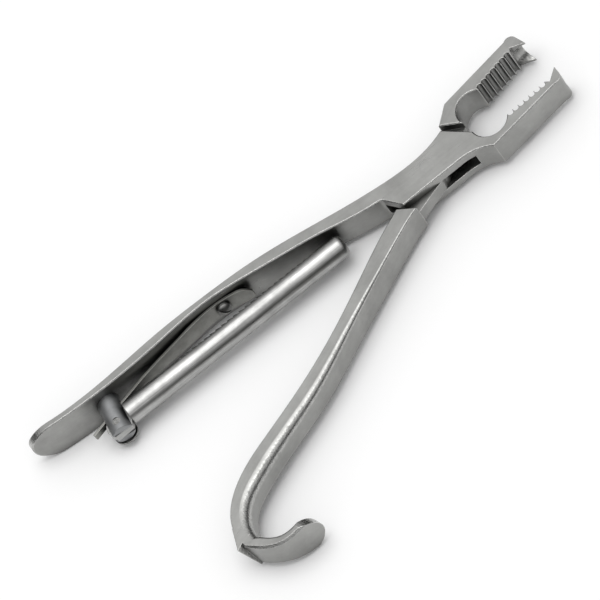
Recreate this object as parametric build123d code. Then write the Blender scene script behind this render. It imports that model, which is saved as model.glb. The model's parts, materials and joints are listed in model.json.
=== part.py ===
"""Bone holding forceps: two forged arms crossing in a box joint, serrated jaws with a round hole and
spurs at the tips, a straight band handle, a curved handle with a finger hook and a tail, and a
folding ratchet bar with its post, pivot screw and leaf spring stowed along the straight handle.

Millimetres. X runs along the straight arm towards the jaws, Y across in the plane of the arms and
Z through their thickness. Everything is drawn with the jaws shut and the pivot pin near X = 0; the
curved arm is then turned open about the pin, and at the end the whole instrument is moved so that
its origin lies under the middle of its bounding box.
"""
from build123d import *
import math
import os

# Box joint
ARM_THICKNESS = 13.7
SLOT_HEIGHT = 6.2
SLIDE_CLEARANCE = 0.1
PIVOT_Y = -2.2
PIN_DIAMETER = 6.4
PIN_SEAT_CLEARANCE = 0.02
PIN_RUNNING_CLEARANCE = 0.05
BOSS_RADIUS = 7.0
REST_OPENING = 17.0
BOX_FACE_Y = -10.1
BOX_CORNER_X = -17.3
BOX_NOTCH_X = -23.2
BOX_NOTCH_Y = -1.4
BOX_NOTCH_RADIUS = 2.5
BOX_SHOULDER_X = 13.1
BOX_SHOULDER_Y = 8.0
BOX_FRONT_END_X = 12.0
WINDOW_END_X = 17.0
WALL_CLEARANCE = 0.5
NECK_FRONT_END_X = -1.4
NECK_FRONT_END_Y = -9.9
NECK_BACK_X = 5.8
NECK_BACK_Y = -7.1
NECK_ROOT_INNER = (-23.6, -3.6)
NECK_ROOT_OUTER = (-18.6, -10.9)

# Jaws, the same on both arms but for the width at the back
JAW_AXIS_Y = -2.8
JAW_END_X = 64.8
JAW_ROOT_X = 26.0
LOWER_ROOT_DEPTH = 12.6
LOWER_TIP_DEPTH = 6.9
UPPER_ROOT_DEPTH = 13.3
UPPER_TIP_DEPTH = 8.9
JAW_TIP_RADIUS = 3.0
HOLE_X = 31.0
HOLE_RADIUS = 8.06
TOOTH_COUNT = 8
TOOTH_PITCH = 2.82
TOOTH_HEIGHT = 1.65
TOOTH_LAND = 0.3
TOOTH_FIRST_DEPTH = 4.1
TOOTH_LAST_DEPTH = 3.0
SPUR_BASE_X = 59.7
SPUR_BASE_DEPTH = 4.6
SPUR_GAP = 0.1
SPUR_NOTCH_START_X = 59.3
SPUR_NOTCH_HALF_WIDTH = 5.9
SPUR_NOTCH_DEPTH = 5.0
UPPER_SHOULDER = (16.6, 5.6)

# Straight handle: plan outline of the band, its height and its rounded end
HANDLE_OUTER = [(-157, 12.9), (-126, 15.4), (-105, 15.7), (-78.4, 14.6), (-42.7, 8.9), (-18.9, 5.1), (-3, 4.3)]
HANDLE_INNER = [(-159, 9.1), (-130, 10.5), (-103, 12.4), (-78, 9.1), (-49.8, 4.2), (-34.9, 0.5)]
HANDLE_END_X = -196.2
HANDLE_END_OUTER_Y = 16.2
HANDLE_END_INNER_Y = 12.5
HANDLE_TAPER_X = -38.0
SPOON_X = -168.0
SPOON_HEIGHT = 19.0
SPOON_END_LENGTH = 12.0
EDGE_BREAK = 0.5

# Curved handle with the jaws shut: inner point, outer point and rounding of the outer edges
CURVED_STATIONS = [
    ((-22.4, -3.4), (-17.4, -11.2), 0.6),
    ((-32.0, -5.1), (-29.2, -12.6), 0.7),
    ((-49.0, -9.0), (-47.0, -16.1), 1.0),
    ((-75.0, -15.4), (-73.3, -21.8), 1.9),
    ((-104.8, -20.2), (-103.4, -28.2), 3.0),
    ((-130.0, -22.0), (-128.6, -30.6), 3.8),
    ((-148.1, -24.3), (-145.8, -33.0), 4.0),
    ((-161.3, -30.0), (-156.4, -36.6), 4.0),
    ((-169.0, -38.4), (-163.1, -43.4), 3.6),
    ((-172.0, -47.4), (-165.6, -49.4), 2.6),
]
HOOK_STATIONS = [
    ((-169.8, -53.2), (-164.9, -51.6), 6.9),
    ((-165.1, -59.8), (-162.1, -56.7), 7.2),
    ((-156.2, -64.8), (-154.9, -61.3), 8.6),
    ((-146.2, -66.9), (-145.6, -63.5), 9.0),
]
HOOK_EDGE_RADIUS = 1.0
HOOK_END_LENGTH = 10.0
HOOK_TRIM = 0.6
TAIL_BACK = (-173.5, -48.3)
TAIL_FRONT = (-169.3, -47.3)
TAIL_LEAN = (-1.6, 1.6)
TAIL_ROOT_BACK = (-168.6, -37.6)
TAIL_ROOT_FRONT = (-166.5, -46.0)

# Ratchet post
POST_DIAMETER = 9.8
POST_X = -159.8
POST_SEAT_CLEARANCE = 0.05
POST_END_X = -162.4
POST_END_Y = -8.6
POST_CHAMFER = 0.3
POST_SLOT_HEIGHT = 3.5
POST_SLOT_TOP_Y = 5.4

# Ratchet bar, its tang and its pivot screw
BAR_DIAMETER = 10.2
BAR_START_X = -156.2
BAR_END_X = -45.3
BAR_Y = -1.9
BAR_FLAT_Y = 1.3
BAR_END_RADIUS = 2.4
RATCHET_PITCH = 3.0
RATCHET_DEPTH = 1.3
RATCHET_FIRST_X = -138.0
RATCHET_COUNT = 27
TANG_THICKNESS = 3.3
TANG_Y_WIDTH = 7.6
HEEL_CLEARANCE = 0.3
RATCHET_PIVOT_SETBACK = 4.1
RATCHET_SCREW_DIAMETER = 3.4
RATCHET_SCREW_CLEARANCE = 0.05
RATCHET_HEAD_RADIUS = 5.2
RATCHET_HEAD_RISE = 3.0
RATCHET_HEAD_RIM = 0.8

# Leaf spring: centre line in plan, from the free end to the end of the tongue
SPRING_LINE = [(-86.2, 7.6), (-94, 10.5), (-103, 11.6), (-119.7, 9.9), (-138.6, 7.4), (-155.3, 3.9), (-172.7, -0.9)]
SPRING_THICKNESS = 1.1
SPRING_WIDTH = 8.4
SPRING_TONGUE_WIDTH = 3.1
SPRING_TAPER_X = -116.0
SPRING_TONGUE_X = -153.0

# Spring screw
SPRING_SCREW_X = -99.6
SPRING_SCREW_DIAMETER = 3.2
SPRING_SCREW_DEPTH = 2.4
SPRING_SCREW_CLEARANCE = 0.05
SPRING_HEAD_RADIUS = 3.2
SPRING_HEAD_RISE = 2.8
SPRING_HEAD_RIM = 1.2
SPRING_HEAD_LIFT = 0.15
DRIVER_SLOT_WIDTH = 0.9
DRIVER_SLOT_DEPTH = 1.3
DRIVER_SLOT_ANGLE = 48.0

HALF = ARM_THICKNESS / 2
PIVOT = Location((0, PIVOT_Y, 0))
REACH = 40.0


def slab(face, height):
    """A plan face made into a plate of the given height about the middle plane."""
    return extrude(face, height / 2, both=True)


def side_view(face, low_y, high_y):
    """A face drawn as seen along Y, in X and Z, made into a block between two places across."""
    standing = Plane((0, high_y, 0), x_dir=(1, 0, 0), z_dir=(0, -1, 0)) * face
    return extrude(standing, high_y - low_y)


def height_at(curve, x):
    """Height of a plan curve that runs along X at one place, found by halving."""
    rising = (curve @ 1).X > (curve @ 0).X
    low, high = 0.0, 1.0
    for _ in range(40):
        middle = (low + high) / 2
        if ((curve @ middle).X < x) == rising:
            low = middle
        else:
            high = middle
    return (curve @ low).Y


def slope_at(curve, x):
    """Angle in degrees of a plan curve at one place, measured from X."""
    step = 0.5
    rise = height_at(curve, x + step) - height_at(curve, x - step)
    return math.degrees(math.atan2(rise, 2 * step))


def outer_edge():
    """Outer side of the straight arm, from the rounded end to the shoulder of the box."""
    start = (HANDLE_END_X, HANDLE_END_OUTER_Y)
    return Spline(start, *HANDLE_OUTER, (BOX_SHOULDER_X, BOX_SHOULDER_Y))


def inner_edge():
    """Inner side of the straight handle, from the rounded end to the notch of the box."""
    start = (HANDLE_END_X, HANDLE_END_INNER_Y)
    return Spline(start, *HANDLE_INNER, (BOX_NOTCH_X, BOX_NOTCH_Y))


def jaw_edges(side, root_depth, tip_depth):
    """Hole, teeth, spur, tip and back of one jaw; side is -1 for the lower jaw and 1 for the upper."""
    def at(x, depth):
        return (x, JAW_AXIS_Y + side * depth)

    mouth_x = HOLE_X + math.sqrt(HOLE_RADIUS ** 2 - TOOTH_FIRST_DEPTH ** 2)
    mouth = at(mouth_x, TOOTH_FIRST_DEPTH)
    edges = [ThreePointArc(at(HOLE_X - HOLE_RADIUS, 0), at(HOLE_X, HOLE_RADIUS), mouth)]
    fall = (TOOTH_FIRST_DEPTH - TOOTH_LAST_DEPTH) / (TOOTH_COUNT - 1)
    for tooth in range(TOOTH_COUNT):
        x = mouth_x + tooth * TOOTH_PITCH
        depth = TOOTH_FIRST_DEPTH - tooth * fall
        edges.append(Line(at(x, depth), at(x + TOOTH_LAND, depth)))
        if tooth < TOOTH_COUNT - 1:
            middle = at(x + (TOOTH_PITCH + TOOTH_LAND) / 2, depth + TOOTH_HEIGHT)
            edges.append(ThreePointArc(at(x + TOOTH_LAND, depth), middle, at(x + TOOTH_PITCH, depth - fall)))
    spur_base = at(SPUR_BASE_X, SPUR_BASE_DEPTH)
    apex = at(JAW_END_X, SPUR_GAP)
    corner = at(JAW_END_X, tip_depth - JAW_TIP_RADIUS)
    back = at(JAW_END_X - JAW_TIP_RADIUS, tip_depth)
    edges.append(Line(at(x + TOOTH_LAND, depth), spur_base))
    edges.append(Line(spur_base, apex))
    edges.append(Line(apex, corner))
    edges.append(TangentArc(corner, back, tangent=(0, side)))
    edges.append(Line(back, at(JAW_ROOT_X, root_depth)))
    return edges


def spur_notch():
    """Oval notch along X through the end of a shut pair of jaws that parts each tip into two spurs."""
    start = Plane((SPUR_NOTCH_START_X, JAW_AXIS_Y, 0), x_dir=(0, 1, 0), z_dir=(1, 0, 0))
    return extrude(start * Ellipse(SPUR_NOTCH_DEPTH, SPUR_NOTCH_HALF_WIDTH), REACH)


def slot_tool():
    """The slot through the box: its back wall follows the shut waist, its front wall closes the window."""
    boss_x = BOSS_RADIUS + WALL_CLEARANCE
    back_top = (-boss_x + 1.2, BOX_SHOULDER_Y + REACH)
    back_wall = (-boss_x + 1.2, PIVOT_Y + BOSS_RADIUS - 0.6)
    hole_edge = (HOLE_X - HOLE_RADIUS + 0.2, JAW_AXIS_Y - 0.8)
    outline = Polyline(
        (BOX_NOTCH_X - 4, BOX_NOTCH_Y - 0.7),
        (BOX_NOTCH_X, BOX_NOTCH_Y - 0.7),
        back_wall,
        back_top,
        (BOX_SHOULDER_X + 1.5, BOX_SHOULDER_Y + REACH),
        hole_edge,
        (WINDOW_END_X, BOX_FACE_Y - 2),
        (WINDOW_END_X, BOX_FACE_Y - REACH),
        (BOX_NOTCH_X - 4, BOX_FACE_Y - REACH),
        close=True,
    )
    boss_room = PIVOT * Circle(BOSS_RADIUS + WALL_CLEARANCE)
    return slab(make_face(outline), SLOT_HEIGHT) + slab(boss_room, SLOT_HEIGHT)


def side_profile():
    """The straight arm seen from its side: level box and jaw, a band that grows, a rounded end."""
    spoon = SPOON_HEIGHT / 2
    round_x = HANDLE_END_X + SPOON_END_LENGTH
    middle = (round_x - SPOON_END_LENGTH * math.sqrt(0.5), spoon * math.sqrt(0.5))
    upper = Polyline((JAW_END_X + 1, HALF), (HANDLE_TAPER_X, HALF), (SPOON_X, spoon), (round_x, spoon))
    upper_end = Spline((round_x, spoon), middle, (HANDLE_END_X, 0), tangents=[(-1, 0), (0, -1)])
    half = Curve() + [upper, upper_end]
    outline = [half, mirror(half, Plane.XZ), Line((JAW_END_X + 1, HALF), (JAW_END_X + 1, -HALF))]
    return make_face(Curve() + outline)


def broken(body, keep):
    """Break the sharp edges of a forging by a small chamfer on those that a test keeps."""
    edges = ShapeList([edge for edge in body.edges() if keep(edge)])
    return chamfer(edges, EDGE_BREAK)


def straight_arm():
    """Box, lower jaw, band handle and rounded end, forged in one piece."""
    corner = (BOX_CORNER_X, BOX_FACE_Y - 0.4)
    box_front = (BOX_FRONT_END_X, BOX_FACE_Y)
    root = (JAW_ROOT_X, JAW_AXIS_Y - LOWER_ROOT_DEPTH)
    edges = jaw_edges(-1, LOWER_ROOT_DEPTH, LOWER_TIP_DEPTH)
    edges.append(TangentArc(box_front, root, tangent=(1, 0)))
    edges.append(Line(box_front, corner))
    edges.append(Line(corner, (BOX_NOTCH_X, BOX_NOTCH_Y)))
    edges.append(inner_edge())
    edges.append(Line((HANDLE_END_X, HANDLE_END_INNER_Y), (HANDLE_END_X, HANDLE_END_OUTER_Y)))
    edges.append(outer_edge())
    edges.append(Line((BOX_SHOULDER_X, BOX_SHOULDER_Y), (HOLE_X - HOLE_RADIUS, JAW_AXIS_Y)))
    plan = make_face(edges)
    notch = plan.vertices().sort_by_distance((BOX_NOTCH_X, BOX_NOTCH_Y, 0))[0]
    plan = fillet(notch, BOX_NOTCH_RADIUS)
    body = slab(plan, SPOON_HEIGHT + 2) & side_view(side_profile(), -REACH, REACH)
    body = broken(body, is_long_rim)
    body -= slot_tool()
    body -= spur_notch()
    body -= PIVOT * Cylinder(PIN_DIAMETER / 2 + PIN_SEAT_CLEARANCE, 2 * REACH)
    body -= post_shape(POST_SEAT_CLEARANCE)
    body -= spring_screw_shank(SPRING_SCREW_CLEARANCE)
    return body


def is_long_rim(edge):
    """True for the upper and lower rims of the long sides of a forging, not for its teeth."""
    return abs(edge.center().Z) > HALF - 0.01 and edge.length > 3 * TOOTH_PITCH


def post_axis():
    """Foot of the post on the outer side of the band, its free end, and the way from one to the other."""
    foot = Vector(POST_X, height_at(outer_edge(), POST_X), 0)
    end = Vector(POST_END_X, POST_END_Y, 0)
    return foot, end, (end - foot).normalized()


def post_shape(grow):
    """The round post from beyond the outer side of the band to its free end, grown by a clearance."""
    foot, end, along = post_axis()
    plane = Plane(origin=foot - along * POST_DIAMETER / 2, z_dir=along)
    length = (end - foot).length + POST_DIAMETER / 2
    return plane * Cylinder(POST_DIAMETER / 2 + grow, length, align=(Align.CENTER, Align.CENTER, Align.MIN))


def outside():
    """Everything beyond the outer side of the straight handle, to trim what is flush with it."""
    edge = outer_edge()
    start, end = edge @ 0, edge @ 1
    frame = Polyline(end, (end.X, REACH), (start.X, REACH), start)
    return slab(make_face(Curve() + [edge, frame]), REACH)


def ratchet_post():
    """Round stud in the band with a slot for the tang and the tongue of the spring."""
    body = post_shape(0)
    free_edge = body.edges().filter_by(GeomType.CIRCLE).sort_by(Axis.Y)[0]
    body = chamfer(free_edge, POST_CHAMFER)
    slot = Box(REACH, REACH, POST_SLOT_HEIGHT, align=(Align.CENTER, Align.MAX, Align.CENTER))
    body -= Pos(POST_X, POST_SLOT_TOP_Y, 0) * slot
    body -= ratchet_shank(RATCHET_SCREW_CLEARANCE / 2)
    return body - outside()


def ratchet_pivot():
    """Place on the axis of the post, a little before its free end, that the bar turns about."""
    foot, end, along = post_axis()
    return end - along * RATCHET_PIVOT_SETBACK


def ratchet_shank(grow):
    """Shank of the ratchet screw through the post, grown by a clearance."""
    return Pos(ratchet_pivot()) * Cylinder(RATCHET_SCREW_DIAMETER / 2 + grow, POST_DIAMETER)


def dome(radius, rise, rim):
    """Domed screw head standing on its flat seat at the origin, with a short straight rim."""
    crown = rise - rim
    ball = (radius ** 2 + crown ** 2) / (2 * crown)
    post = Cylinder(radius, rise, align=(Align.CENTER, Align.CENTER, Align.MIN))
    return post & Pos(0, 0, rise - ball) * Sphere(ball)


def ratchet_screw():
    """Screw through the post and the tang, with its domed head below."""
    shank_top = math.sqrt((POST_DIAMETER / 2) ** 2 - (RATCHET_SCREW_DIAMETER / 2) ** 2)
    seat = POST_DIAMETER / 2 + 0.05
    length = shank_top + seat
    shank = Cylinder(RATCHET_SCREW_DIAMETER / 2, length, align=(Align.CENTER, Align.CENTER, Align.MIN))
    head = Rot(180, 0, 0) * dome(RATCHET_HEAD_RADIUS, RATCHET_HEAD_RISE, RATCHET_HEAD_RIM)
    return Pos(ratchet_pivot()) * Pos(0, 0, -seat) * (shank + head)


def ratchet_bar():
    """Half-round toothed bar with its tang; the teeth are on the flat that faces the handle."""
    length = BAR_END_X - BAR_START_X
    bar = Pos((BAR_START_X + BAR_END_X) / 2, BAR_Y, 0) * Cylinder(BAR_DIAMETER / 2, length, rotation=(0, 90, 0))
    far_edge = bar.edges().filter_by(GeomType.CIRCLE).sort_by(Axis.X)[-1]
    bar = fillet(far_edge, BAR_END_RADIUS)
    flat = Box(length + 2, REACH, REACH, align=(Align.CENTER, Align.MIN, Align.CENTER))
    bar -= Pos((BAR_START_X + BAR_END_X) / 2, BAR_FLAT_Y, 0) * flat
    notch = make_face(Polyline((0, 0), (RATCHET_PITCH, 0), (RATCHET_PITCH, -RATCHET_DEPTH), close=True))
    for tooth in range(RATCHET_COUNT):
        x = RATCHET_FIRST_X + tooth * RATCHET_PITCH
        bar -= Pos(x, BAR_FLAT_Y, 0) * slab(notch, REACH)
    pivot = ratchet_pivot()
    spring_gap = height_at(spring_curve(), pivot.X) - SPRING_THICKNESS / 2 - pivot.Y
    lean = math.radians(slope_at(spring_curve(), pivot.X))
    heel_radius = spring_gap * math.cos(lean) - HEEL_CLEARANCE
    tang_root = BAR_START_X + 2
    tang = make_face(Polyline(
        (pivot.X, pivot.Y + heel_radius * 0.9),
        (tang_root, BAR_Y + TANG_Y_WIDTH / 2 - 1),
        (tang_root, BAR_Y - TANG_Y_WIDTH / 2),
        (pivot.X, pivot.Y - heel_radius * 0.7),
        close=True,
    ))
    heel = Pos(pivot) * Circle(heel_radius)
    cut = Pos(pivot.X, POST_END_Y) * Rectangle(REACH, REACH, align=(Align.CENTER, Align.MAX))
    bar += slab(tang, TANG_THICKNESS) + (slab(heel, TANG_THICKNESS) - slab(cut, TANG_THICKNESS))
    bar -= ratchet_shank(RATCHET_SCREW_CLEARANCE)
    return bar


def spring_curve():
    """Centre line of the leaf spring in plan."""
    return Spline(*SPRING_LINE)


def spring_side():
    """The leaf spring seen from its side: rounded free end, tapering blade and narrow tongue."""
    free_x = SPRING_LINE[0][0] + 1
    tongue_x = SPRING_LINE[-1][0] - 1
    wide = SPRING_WIDTH / 2
    narrow = SPRING_TONGUE_WIDTH / 2
    round_x = free_x - wide - 2
    taper = [(tongue_x, narrow), (SPRING_TONGUE_X, narrow), (SPRING_TAPER_X, wide), (round_x, wide)]
    upper = Polyline((tongue_x, 0), *taper)
    half = Curve() + [upper, ThreePointArc((round_x, wide), (free_x - 2, wide * 0.62), (free_x, 0))]
    return make_face(Curve() + [half, mirror(half, Plane.XZ)])


def leaf_spring():
    """Flat spring bowed along the handle, with a tongue through the slot of the post."""
    blade = slab(trace(spring_curve(), SPRING_THICKNESS), SPRING_WIDTH + 2)
    body = blade & side_view(spring_side(), -REACH, REACH)
    body -= spring_screw_shank(SPRING_SCREW_CLEARANCE)
    return body


def spring_screw_place():
    """Seat of the spring screw on the spring, looking out from the handle towards the bar."""
    curve = spring_curve()
    angle = math.radians(slope_at(curve, SPRING_SCREW_X))
    normal = Vector(math.sin(angle), -math.cos(angle), 0)
    middle = Vector(SPRING_SCREW_X, height_at(curve, SPRING_SCREW_X), 0)
    return Plane(origin=middle + normal * (SPRING_THICKNESS / 2), x_dir=(0, 0, 1), z_dir=normal)


def spring_screw_shank(grow):
    """Shank of the spring screw into the band, grown by a clearance."""
    depth = SPRING_THICKNESS + SPRING_SCREW_DEPTH + SPRING_HEAD_LIFT
    shank = Cylinder(SPRING_SCREW_DIAMETER / 2 + grow, depth, align=(Align.CENTER, Align.CENTER, Align.MAX))
    return spring_screw_place() * Pos(0, 0, SPRING_HEAD_LIFT) * shank


def spring_screw():
    """Domed slotted screw that holds the spring on the band."""
    head = dome(SPRING_HEAD_RADIUS, SPRING_HEAD_RISE, SPRING_HEAD_RIM)
    groove = Box(2 * REACH, DRIVER_SLOT_WIDTH, DRIVER_SLOT_DEPTH * 2)
    head -= Pos(0, 0, SPRING_HEAD_RISE) * Rot(0, 0, DRIVER_SLOT_ANGLE) * groove
    return spring_screw_place() * (Pos(0, 0, SPRING_HEAD_LIFT) * head) + spring_screw_shank(0)


def station_face(inner, outer, half_height, inner_break, outer_radius):
    """Upright section of a handle between two plan points: inner edges broken, outer edges rounded."""
    start = Vector(*inner, 0)
    across = Vector(*outer, 0) - start
    width = across.length
    plane = Plane(origin=start, x_dir=across.normalized(), z_dir=across.normalized().cross(Vector(0, 0, 1)))
    face = Polyline((0, -half_height), (width, -half_height), (width, half_height), (0, half_height), close=True)
    section = make_face(face)
    corners = section.vertices().sort_by(Axis.X)
    section = fillet(corners[2:], outer_radius)
    section = chamfer(section.vertices().sort_by(Axis.X)[:2], inner_break)
    return plane * section


def curved_handle():
    """Curved handle from its shoulder to the root of the hook, as a loft through upright sections."""
    faces = [station_face(i, o, HALF, EDGE_BREAK, r) for i, o, r in CURVED_STATIONS]
    return loft(faces)


def finger_hook():
    """Thin upright blade that carries on from the handle and curls round the finger."""
    inner, outer, radius = CURVED_STATIONS[-1]
    faces = [station_face(inner, outer, HALF, EDGE_BREAK, radius)]
    for i, o, half_height in HOOK_STATIONS:
        faces.append(station_face(i, o, half_height, HOOK_EDGE_RADIUS, HOOK_EDGE_RADIUS))
    blade = loft(faces)
    end_x = HOOK_STATIONS[-1][0][0] - HOOK_TRIM
    half_height = HOOK_STATIONS[-1][2]
    cap = Pos(end_x - HOOK_END_LENGTH, 0) * Ellipse(HOOK_END_LENGTH, half_height)
    field = Rectangle(REACH, 2 * half_height + 2, align=(Align.MAX, Align.CENTER))
    cap += Pos(end_x - HOOK_END_LENGTH, 0) * field
    return blade & side_view(cap, -2.5 * REACH, 0)


def tail():
    """Straight end of the curved handle that the ratchet teeth catch; its end face leans."""
    lean = Vector(*TAIL_LEAN, HALF)
    back = Vector(*TAIL_BACK, 0)
    front = Vector(*TAIL_FRONT, 0)
    end = make_face(Polyline(back + lean, front + lean, front - lean, back - lean, close=True))
    rise = Vector(0, 0, HALF)
    back = Vector(*TAIL_ROOT_BACK, 0)
    front = Vector(*TAIL_ROOT_FRONT, 0)
    root = make_face(Polyline(back + rise, front + rise, front - rise, back - rise, close=True))
    return loft([root, end], ruled=True)


def waist():
    """Thin part of the curved arm inside the box: a round boss with a link to each side.

    Its front is flush with the front of the box when the jaws are shut.
    """
    boss = PIVOT * Circle(BOSS_RADIUS)
    boss_top = PIVOT_Y + BOSS_RADIUS - 0.4
    links = make_face(Polyline(
        NECK_ROOT_INNER,
        (-BOSS_RADIUS / 3, boss_top),
        (BOSS_RADIUS / 3, boss_top),
        (UPPER_SHOULDER[0] + 1, UPPER_SHOULDER[1] - 0.3),
        (HOLE_X - HOLE_RADIUS + 3, JAW_AXIS_Y + 4),
        (HOLE_X - HOLE_RADIUS, JAW_AXIS_Y + SPUR_GAP),
        (NECK_BACK_X, NECK_BACK_Y),
        (NECK_FRONT_END_X, NECK_FRONT_END_Y),
        NECK_ROOT_OUTER,
        close=True,
    ))
    hole = Pos(HOLE_X, JAW_AXIS_Y) * Circle(HOLE_RADIUS)
    height = SLOT_HEIGHT - 2 * SLIDE_CLEARANCE
    return slab(boss, height) + slab(links, height) - slab(hole, height)


def upper_jaw():
    """Jaw of the curved arm, whose shoulder meets the shoulder of the box when shut."""
    edges = jaw_edges(1, UPPER_ROOT_DEPTH, UPPER_TIP_DEPTH)
    root = (JAW_ROOT_X, JAW_AXIS_Y + UPPER_ROOT_DEPTH)
    edges.append(Line((HOLE_X - HOLE_RADIUS, JAW_AXIS_Y), UPPER_SHOULDER))
    edges.append(Line(UPPER_SHOULDER, root))
    return broken(slab(make_face(edges), ARM_THICKNESS), is_long_rim)


def curved_arm():
    """Upper jaw, waist, curved handle, tail and finger hook, forged in one piece, drawn shut."""
    body = upper_jaw() - spur_notch()
    body += curved_handle()
    body += finger_hook()
    body += tail()
    body += waist()
    body -= PIVOT * Cylinder(PIN_DIAMETER / 2 + PIN_RUNNING_CLEARANCE, 2 * REACH)
    return body


def opened(shape):
    """Turn a shape of the shut curved arm to the rest pose."""
    return PIVOT * Rot(0, 0, REST_OPENING) * PIVOT.inverse() * shape


def box_pin():
    """Pivot pin, ground flush with both cheeks of the box."""
    return PIVOT * Cylinder(PIN_DIAMETER / 2, ARM_THICKNESS)


def build():
    """Every part in its place, with the origin under the middle of the whole."""
    parts = {
        "straight_arm": straight_arm(),
        "curved_arm": opened(curved_arm()),
        "box_pin": box_pin(),
        "ratchet_post": ratchet_post(),
        "ratchet_bar": ratchet_bar(),
        "ratchet_screw": ratchet_screw(),
        "leaf_spring": leaf_spring(),
        "spring_screw": spring_screw(),
    }
    box = Compound(children=[Compound(p.solids()) for p in parts.values()]).bounding_box()
    middle = box.center()
    shift = Vector(-middle.X, -middle.Y, -box.min.Z)
    moved = {name: Pos(*shift) * part for name, part in parts.items()}
    return moved, shift


if __name__ == "__main__":
    os.makedirs("parts", exist_ok=True)
    parts, shift = build()
    for name, part in parts.items():
        solids = part.solids()
        export_step(solids[0] if len(solids) == 1 else Compound(solids), f"parts/{name}.step")
    print("pivot at", shift + Vector(0, PIVOT_Y, 0))
    print("ratchet pivot at", shift + ratchet_pivot())
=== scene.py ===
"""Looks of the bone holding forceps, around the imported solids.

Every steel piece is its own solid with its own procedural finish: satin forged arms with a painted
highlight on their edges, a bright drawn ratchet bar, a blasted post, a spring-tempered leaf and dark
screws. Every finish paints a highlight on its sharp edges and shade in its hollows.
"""

import json
import math

import bpy
from mathutils import Matrix, Vector


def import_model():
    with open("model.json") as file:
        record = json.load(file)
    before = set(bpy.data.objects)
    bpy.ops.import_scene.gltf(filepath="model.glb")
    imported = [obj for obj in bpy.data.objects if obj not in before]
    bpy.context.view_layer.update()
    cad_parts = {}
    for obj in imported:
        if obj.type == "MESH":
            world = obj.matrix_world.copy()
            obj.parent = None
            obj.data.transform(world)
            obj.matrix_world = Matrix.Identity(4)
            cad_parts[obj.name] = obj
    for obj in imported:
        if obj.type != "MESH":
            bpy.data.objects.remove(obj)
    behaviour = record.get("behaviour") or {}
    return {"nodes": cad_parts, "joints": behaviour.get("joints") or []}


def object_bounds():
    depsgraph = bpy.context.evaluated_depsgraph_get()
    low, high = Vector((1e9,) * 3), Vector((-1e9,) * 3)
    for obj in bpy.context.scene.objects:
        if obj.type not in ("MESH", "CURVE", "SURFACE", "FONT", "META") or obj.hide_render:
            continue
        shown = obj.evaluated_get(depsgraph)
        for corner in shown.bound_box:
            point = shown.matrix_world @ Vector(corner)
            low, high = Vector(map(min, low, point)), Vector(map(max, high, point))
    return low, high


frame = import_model()
cad_low, cad_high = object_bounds()
NODES = frame["nodes"]
PIVOT = Vector(frame["joints"][0]["pos_m"])

MM = 0.001

# Camera, from the photograph: it looks down across the arms from the side of the curved handle, and is
# turned so that the arms run up to the right. IMAGE_SIZE and PIVOT_PIXEL are in the photograph's frame.
IMAGE_SIZE = 600
PIXELS_PER_METRE = 2480.0
ELEVATION = math.radians(51.67)
ROLL = math.radians(38.3)
CAMERA_DISTANCE = 3.2
CAMERA_CLIP = (0.1, 50.0)
SENSOR = 36.0
PIVOT_PIXEL = (433.2, 174.1)

# Light: how bright the dome is to metal by height above the horizon, how much the world lights matte
# things, and the one lamp, in metres and watts
DOME = ((0.0, 0.06), (0.35, 0.10), (0.58, 0.65), (0.75, 1.0), (1.0, 1.0))
AMBIENT = 0.78
WHITE = 1.0
LAMP_DIRECTION = (0.0, 0.05, 1.0)
LAMP_DISTANCE = 1.2
LAMP_SIZE = 1.13
LAMP_POWER = 6.0

# Floor
FLOOR_REACH = 6.0
FLOOR_GREY = 0.93
FLOOR_ROUGHNESS = 0.9

# Hollows: painted shade, how near other steel has to be to darken one, how dark the painted shade is, and
# how open a place is where the painted shade is full and where it ends
HOLLOW_REACH = 6.0 * MM
HOLLOW_SHADE = 0.3
HOLLOW_OPENING = (0.3, 0.9)

# Edges: agreement of the rounded surface with the face where the painted highlight starts and where it is
# full, and how much of the painted highlight colour shows there
EDGE_AGREEMENT = (0.985, 0.80)
EDGE_PAINTED_HIGHLIGHT = 0.75

# Rounded parts: rise of the surface's normal where they end below level, and where they start
LEVEL_RISE = (0.90, 0.99)
UPRIGHT_RISE = (0.1, 0.3)

# Where the ground pivot pin lies in the cheek, and the share of that radius where its mask is full
PIN_MASK_RADIUS = 4.2 * MM
PIN_MASK_CORE = 0.95

BEVEL_SAMPLES = 6
HOLLOW_SAMPLES = 8

# The curved handle's run on the plan, in degrees from the straight one's
CURVED_TURN = 28.0
SCRATCH_TURN = 35.0


# Nodes of a material

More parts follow.
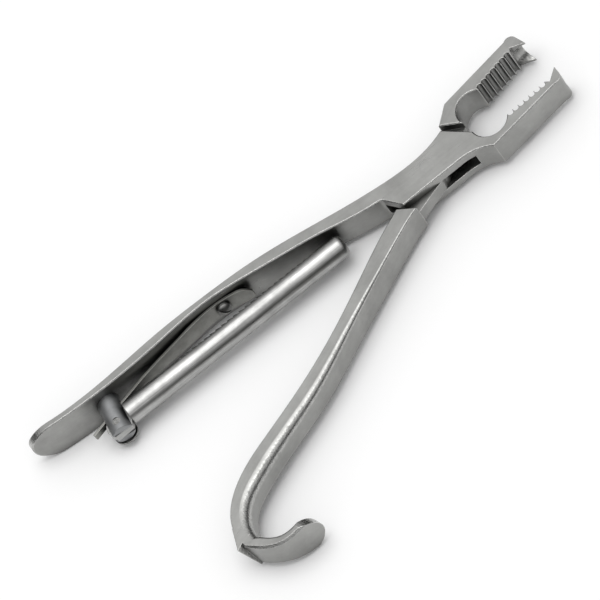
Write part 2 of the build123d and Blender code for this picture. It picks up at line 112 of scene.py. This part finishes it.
class Finish:
    """A metal material under construction, with short calls for the nodes that it is made of."""

    def __init__(self, name, color, roughness):
        self.material = bpy.data.materials.new(name)
        self.material.use_nodes = True
        self.tree = self.material.node_tree
        self.shader = self.tree.nodes["Principled BSDF"]
        self.shader.inputs["Metallic"].default_value = 1.0
        self.shader.inputs["Base Color"].default_value = (*color, 1.0)
        self.shader.inputs["Roughness"].default_value = roughness
        self.place = self.tree.nodes.new("ShaderNodeTexCoord").outputs["Object"]

    def link(self, source, target):
        self.tree.links.new(source, target)

    def stretched(self, degrees, along):
        """Object coordinates turned about the vertical, in which noise becomes a grain for a small along."""
        turned = self.tree.nodes.new("ShaderNodeMapping")
        turned.inputs["Rotation"].default_value = (0.0, 0.0, -math.radians(degrees))
        self.link(self.place, turned.inputs["Vector"])
        mapping = self.tree.nodes.new("ShaderNodeMapping")
        mapping.inputs["Scale"].default_value = (along, 1.0, 1.0)
        self.link(turned.outputs["Vector"], mapping.inputs["Vector"])
        return mapping.outputs["Vector"]

    def noise(self, scale, detail, rough, vector=None):
        """Noise from 0 to 1; scale is in lumps per metre."""
        node = self.tree.nodes.new("ShaderNodeTexNoise")
        node.inputs["Scale"].default_value = scale
        node.inputs["Detail"].default_value = detail
        node.inputs["Roughness"].default_value = rough
        self.link(vector or self.place, node.inputs["Vector"])
        return node.outputs["Fac"]

    def spread(self, value, part, onto=(0.0, 1.0)):
        """Stretch a part of a value's range over a new range, clamped."""
        node = self.tree.nodes.new("ShaderNodeMapRange")
        for socket, number in zip(("From Min", "From Max", "To Min", "To Max"), (*part, *onto)):
            node.inputs[socket].default_value = number
        self.link(value, node.inputs["Value"])
        return node.outputs["Result"]

    def combine(self, operation, first, second):
        """Two values, or a value and a number, joined by one operation."""
        node = self.tree.nodes.new("ShaderNodeMath")
        node.operation = operation
        for socket, item in zip(node.inputs, (first, second)):
            if isinstance(item, (int, float)):
                socket.default_value = item
            else:
                self.link(item, socket)
        return node.outputs["Value"]

    def total(self, *parts):
        """Sum of values, each of them alone or in a pair with its weight."""
        result = None
        for part in parts:
            value = self.combine("MULTIPLY", *part) if isinstance(part, tuple) else part
            result = self.combine("ADD", result, value) if result else value
        return result

    def vector_math(self, operation, first, second):
        """A node that joins two vectors, the second an output or plain numbers, by one operation."""
        node = self.tree.nodes.new("ShaderNodeVectorMath")
        node.operation = operation
        self.link(first, node.inputs[0])
        if isinstance(second, tuple):
            node.inputs[1].default_value = second
        else:
            self.link(second, node.inputs[1])
        return node

    def rounded_normal(self, radius):
        """Normal of the surface as if its edges were rounded by a radius."""
        node = self.tree.nodes.new("ShaderNodeBevel")
        node.samples = BEVEL_SAMPLES
        node.inputs["Radius"].default_value = radius
        return node.outputs["Normal"]

    def geometry(self, output):
        return self.tree.nodes.new("ShaderNodeNewGeometry").outputs[output]

    def off_pin(self):
        """0 over the pivot pin, which is ground and finished over with the cheek, and 1 elsewhere."""
        plan = self.vector_math("MULTIPLY", self.place, (1.0, 1.0, 0.0)).outputs["Vector"]
        away = self.vector_math("DISTANCE", plan, (PIVOT.x, PIVOT.y, 0.0)).outputs["Value"]
        return self.spread(away, (PIN_MASK_CORE * PIN_MASK_RADIUS, PIN_MASK_RADIUS))

    def rounded_parts(self):
        """1 where a surface leans between level and upright, as the rounded edges of a handle do."""
        axes = self.tree.nodes.new("ShaderNodeSeparateXYZ")
        self.link(self.geometry("Normal"), axes.inputs["Vector"])
        rise = self.combine("ABSOLUTE", axes.outputs["Z"], 0.0)
        below_level = self.spread(rise, LEVEL_RISE, (1.0, 0.0))
        return self.combine("MULTIPLY", below_level, self.spread(rise, UPRIGHT_RISE))

    def edges(self, radius):
        """1 on the sharp edges, which get a painted highlight, and 0 on the faces, from how far rounding
        would turn the surface.
        """
        compared = self.vector_math("DOT_PRODUCT", self.rounded_normal(radius), self.geometry("True Normal"))
        painted_edge_highlight = self.spread(compared.outputs["Value"], EDGE_AGREEMENT)
        return self.combine("MULTIPLY", painted_edge_highlight, self.off_pin())

    def blended(self, factor, first, second):
        """Colour between two, each a colour or the output of another node."""
        mix = self.tree.nodes.new("ShaderNodeMix")
        mix.data_type = "RGBA"
        self.link(factor, mix.inputs["Factor"])
        for socket, item in ((mix.inputs[6], first), (mix.inputs[7], second)):
            if isinstance(item, tuple):
                socket.default_value = (*item, 1.0)
            else:
                self.link(item, socket)
        return mix.outputs[2]

    def colours(self, value, edge, dark, light, painted_edge_highlight):
        """Colour from dark to light by a value, with a painted highlight on edges and painted shade where a
        hollow is deep.
        """
        base = self.blended(value, dark, light)
        # Painted highlight: the base colour goes toward a bright colour on sharp edges
        base = self.blended(self.combine("MULTIPLY", edge, EDGE_PAINTED_HIGHLIGHT), base, painted_edge_highlight)
        # Painted shade: the base colour goes darker where other steel is near, in hollows and between parts
        opening = self.tree.nodes.new("ShaderNodeAmbientOcclusion")
        opening.samples = HOLLOW_SAMPLES
        opening.inputs["Distance"].default_value = HOLLOW_REACH
        painted_shade = tuple(channel * HOLLOW_SHADE for channel in dark)
        base = self.blended(self.spread(opening.outputs["AO"], HOLLOW_OPENING), painted_shade, base)
        self.link(base, self.shader.inputs["Base Color"])

    def roughness(self, value):
        self.link(value, self.shader.inputs["Roughness"])

    def relief(self, value, height, rounding):
        """Bump of a height in metres on top of edges rounded by a small radius, but for the pin's ring."""
        mix = self.tree.nodes.new("ShaderNodeMix")
        mix.data_type = "VECTOR"
        self.link(self.off_pin(), mix.inputs["Factor"])
        self.link(self.geometry("Normal"), mix.inputs[4])
        self.link(self.rounded_normal(rounding), mix.inputs[5])
        bump = self.tree.nodes.new("ShaderNodeBump")
        bump.inputs["Distance"].default_value = height
        bump.inputs["Strength"].default_value = 1.0
        self.link(value, bump.inputs["Height"])
        self.link(mix.outputs[1], bump.inputs["Normal"])
        self.link(bump.outputs["Normal"], self.shader.inputs["Normal"])


# Metals

def satin_steel(name, turn):
    """Forged steel, satin along a run at some degrees over grinding marks across it, with a painted highlight
    on its edges and on its rounded parts.
    """
    finish = Finish(name, color=(0.3, 0.3, 0.295), roughness=0.36)
    along, across = finish.stretched(turn, 0.06), finish.stretched(turn + 90.0, 0.35)
    grain = finish.noise(scale=900.0, detail=4.0, rough=0.6, vector=along)
    marks = finish.noise(scale=1000.0, detail=3.0, rough=0.65, vector=across)
    patches = finish.noise(scale=55.0, detail=5.0, rough=0.65)
    specks = finish.noise(scale=1500.0, detail=2.0, rough=0.5)
    edge = finish.edges(0.5 * MM)
    # Filing marks across rounded parts, with a painted highlight: the colour goes lighter where the surface
    # leans between level and upright
    filing_and_highlight = finish.combine("MULTIPLY", finish.spread(marks, (0.35, 0.65)), finish.rounded_parts())
    tone = finish.total((finish.spread(patches, (0.32, 0.68)), 0.5), (grain, 0.3), (filing_and_highlight, 1.2))
    # The last colour is a painted highlight on the sharp edges
    finish.colours(tone, edge, dark=(0.25, 0.25, 0.242), light=(0.44, 0.44, 0.428), painted_edge_highlight=(0.85, 0.85, 0.83))
    grain_rough = finish.spread(grain, (0.3, 0.7), onto=(0.28, 0.37))
    patch_rough = finish.spread(patches, (0.32, 0.68), onto=(0.03, -0.03))
    finish.roughness(finish.total(grain_rough, patch_rough, (edge, -0.12), (filing_and_highlight, -0.14)))
    surface = finish.total(grain, (specks, 0.5), (marks, 2.0), (filing_and_highlight, 4.0))
    finish.relief(surface, height=0.009 * MM, rounding=0.3 * MM)
    return finish.material


def polished_steel(name):
    """Drawn bar, polished along its length, with fine lengthwise draw lines and a few dull patches."""
    finish = Finish(name, color=(0.35, 0.35, 0.345), roughness=0.3)
    lines = finish.noise(scale=1400.0, detail=4.0, rough=0.65, vector=finish.stretched(0.0, 0.02))
    patches = finish.noise(scale=120.0, detail=4.0, rough=0.65)
    specks = finish.noise(scale=1300.0, detail=3.0, rough=0.6)
    edge = finish.edges(0.4 * MM)
    tone = finish.spread(finish.total((lines, 0.6), (patches, 0.4)), (0.35, 0.65))
    # The last colour is a painted highlight on the sharp edges
    finish.colours(tone, edge, dark=(0.26, 0.26, 0.255), light=(0.52, 0.52, 0.51), painted_edge_highlight=(0.62, 0.62, 0.61))
    line_rough = finish.spread(lines, (0.3, 0.7), onto=(0.26, 0.36))
    patch_rough = finish.spread(patches, (0.35, 0.65), onto=(0.04, -0.02))
    finish.roughness(finish.total(line_rough, patch_rough))
    finish.relief(finish.total(lines, specks), height=0.010 * MM, rounding=0.25 * MM)
    return finish.material


def blasted_steel(name):
    """Fine blasted matte steel of the post, with shallow pits."""
    finish = Finish(name, color=(0.42, 0.42, 0.42), roughness=0.5)
    pits = finish.noise(scale=2600.0, detail=2.0, rough=0.5)
    patches = finish.noise(scale=260.0, detail=4.0, rough=0.6)
    edge = finish.edges(0.4 * MM)
    tone = finish.spread(patches, (0.3, 0.7))
    # The last colour is a painted highlight on the sharp edges
    finish.colours(tone, edge, dark=(0.26, 0.265, 0.27), light=(0.34, 0.345, 0.35), painted_edge_highlight=(0.42, 0.425, 0.43))
    finish.roughness(finish.spread(patches, (0.3, 0.7), onto=(0.46, 0.58)))
    finish.relief(pits, height=0.02 * MM, rounding=0.3 * MM)
    return finish.material


def spring_steel(name):
    """Spring-tempered strip, rolled along its length, a little darker than the arms."""
    finish = Finish(name, color=(0.5, 0.5, 0.49), roughness=0.32)
    rolled = finish.noise(scale=1200.0, detail=3.0, rough=0.6, vector=finish.stretched(0.0, 0.05))
    patches = finish.noise(scale=160.0, detail=3.0, rough=0.6)
    edge = finish.edges(0.25 * MM)
    tone = finish.spread(patches, (0.3, 0.7))
    # The last colour is a painted highlight on the sharp edges
    finish.colours(tone, edge, dark=(0.25, 0.25, 0.235), light=(0.36, 0.36, 0.34), painted_edge_highlight=(0.62, 0.62, 0.59))
    finish.roughness(finish.spread(rolled, (0.3, 0.7), onto=(0.28, 0.40)))
    finish.relief(rolled, height=0.006 * MM, rounding=0.15 * MM)
    return finish.material


def screw_steel(name):
    """Dark screw steel, mottled by handling, with a painted highlight on its sharp edges."""
    finish = Finish(name, color=(0.3, 0.3, 0.3), roughness=0.36)
    mottle = finish.noise(scale=700.0, detail=4.0, rough=0.65)
    scratches = finish.noise(scale=2400.0, detail=3.0, rough=0.6, vector=finish.stretched(SCRATCH_TURN, 0.08))
    edge = finish.edges(0.3 * MM)
    tone = finish.spread(mottle, (0.38, 0.62))
    # The last colour is a painted highlight on the sharp edges
    finish.colours(tone, edge, dark=(0.18, 0.18, 0.175), light=(0.36, 0.36, 0.35), painted_edge_highlight=(0.46, 0.46, 0.45))
    finish.roughness(finish.spread(mottle, (0.35, 0.65), onto=(0.28, 0.46)))
    finish.relief(finish.total(mottle, scratches), height=0.012 * MM, rounding=0.2 * MM)
    return finish.material


def dress(node, material):
    """Give all faces of a solid one material."""
    piece = NODES[node]
    piece.data.materials.clear()
    piece.data.materials.append(material)
    for polygon in piece.data.polygons:
        polygon.material_index = 0


# Stage

def floor():
    """Plain pale floor under the instrument, wide enough for every view."""
    mesh = bpy.data.meshes.new("floor")
    signs = ((-1, -1), (1, -1), (1, 1), (-1, 1))
    mesh.from_pydata([(x * FLOOR_REACH, y * FLOOR_REACH, cad_low.z) for x, y in signs], [], [(0, 1, 2, 3)])
    piece = bpy.data.objects.new("floor", mesh)
    bpy.context.scene.collection.objects.link(piece)
    material = bpy.data.materials.new("floor")
    material.use_nodes = True
    shader = material.node_tree.nodes["Principled BSDF"]
    shader.inputs["Base Color"].default_value = (FLOOR_GREY, FLOOR_GREY, FLOOR_GREY, 1.0)
    shader.inputs["Roughness"].default_value = FLOOR_ROUGHNESS
    shader.inputs["Specular IOR Level"].default_value = 0.0
    mesh.materials.append(material)


def softbox(name, direction, distance, size, power):
    """Soft area lamp that looks at the middle of the instrument from a direction."""
    middle = (cad_low + cad_high) / 2
    lamp = bpy.data.lights.new(name, "AREA")
    lamp.shape = "DISK"
    lamp.size = size
    lamp.energy = power
    piece = bpy.data.objects.new(name, lamp)
    toward = Vector(direction).normalized()
    piece.location = middle + toward * distance
    piece.rotation_euler = toward.to_track_quat("Z", "Y").to_euler()
    bpy.context.scene.collection.objects.link(piece)


def world():
    """White for camera and transmission rays, an even grey for diffuse ones, and DOME for glossy ones."""
    scene_world = bpy.data.worlds.new("studio")
    bpy.context.scene.world = scene_world
    scene_world.use_nodes = True
    tree = scene_world.node_tree
    background = tree.nodes["Background"]
    place = tree.nodes.new("ShaderNodeTexCoord")
    axes = tree.nodes.new("ShaderNodeSeparateXYZ")
    tree.links.new(place.outputs["Generated"], axes.inputs["Vector"])
    dome = tree.nodes.new("ShaderNodeValToRGB")
    while len(dome.color_ramp.elements) < len(DOME):
        dome.color_ramp.elements.new(0.5)
    for stop, (height, grey) in zip(dome.color_ramp.elements, DOME):
        stop.position = height
        stop.color = (grey, grey, grey, 1.0)
    tree.links.new(axes.outputs["Z"], dome.inputs["Fac"])
    path = tree.nodes.new("ShaderNodeLightPath")
    colour = dome.outputs["Color"]
    for ray, value in (("Is Diffuse Ray", AMBIENT), ("Is Camera Ray", WHITE), ("Is Transmission Ray", WHITE)):
        mix = tree.nodes.new("ShaderNodeMix")
        mix.data_type = "RGBA"
        tree.links.new(path.outputs[ray], mix.inputs["Factor"])
        tree.links.new(colour, mix.inputs[6])
        mix.inputs[7].default_value = (value, value, value, 1.0)
        colour = mix.outputs[2]
    tree.links.new(colour, background.inputs["Color"])


def camera():
    """Camera at the photograph's angle, placed so that the pivot falls on its pixel."""
    back = Vector((0.0, -math.cos(ELEVATION), math.sin(ELEVATION)))
    level_up = Vector((0.0, math.sin(ELEVATION), math.cos(ELEVATION)))
    along = Vector((1.0, 0.0, 0.0))
    right = along * math.cos(ROLL) - level_up * math.sin(ROLL)
    up = along * math.sin(ROLL) + level_up * math.cos(ROLL)
    dx = (IMAGE_SIZE / 2 - PIVOT_PIXEL[0]) / PIXELS_PER_METRE
    dy = (PIVOT_PIXEL[1] - IMAGE_SIZE / 2) / PIXELS_PER_METRE
    aim = PIVOT + right * dx + up * dy
    data = bpy.data.cameras.new("camera")
    data.sensor_width = SENSOR
    data.lens = SENSOR * CAMERA_DISTANCE * PIXELS_PER_METRE / IMAGE_SIZE
    data.clip_start, data.clip_end = CAMERA_CLIP
    piece = bpy.data.objects.new("camera", data)
    turn = Matrix((right, up, back)).transposed().to_4x4()
    piece.matrix_world = Matrix.Translation(aim + back * CAMERA_DISTANCE) @ turn
    bpy.context.scene.collection.objects.link(piece)
    bpy.context.scene.camera = piece


camera()
world()
floor()
softbox("overhead", LAMP_DIRECTION, LAMP_DISTANCE, LAMP_SIZE, LAMP_POWER)

arm = satin_steel("satin_steel", 0.0)
dress("straight_arm", arm)
dress("box_pin", arm)
dress("curved_arm", satin_steel("satin_steel_turned", CURVED_TURN))
dress("ratchet_bar", polished_steel("polished_steel"))
dress("ratchet_post", blasted_steel("blasted_steel"))
dress("leaf_spring", spring_steel("spring_steel"))
screws = screw_steel("screw_steel")
dress("ratchet_screw", screws)
dress("spring_screw", screws)

bpy.context.scene.view_settings.view_transform = "Standard"
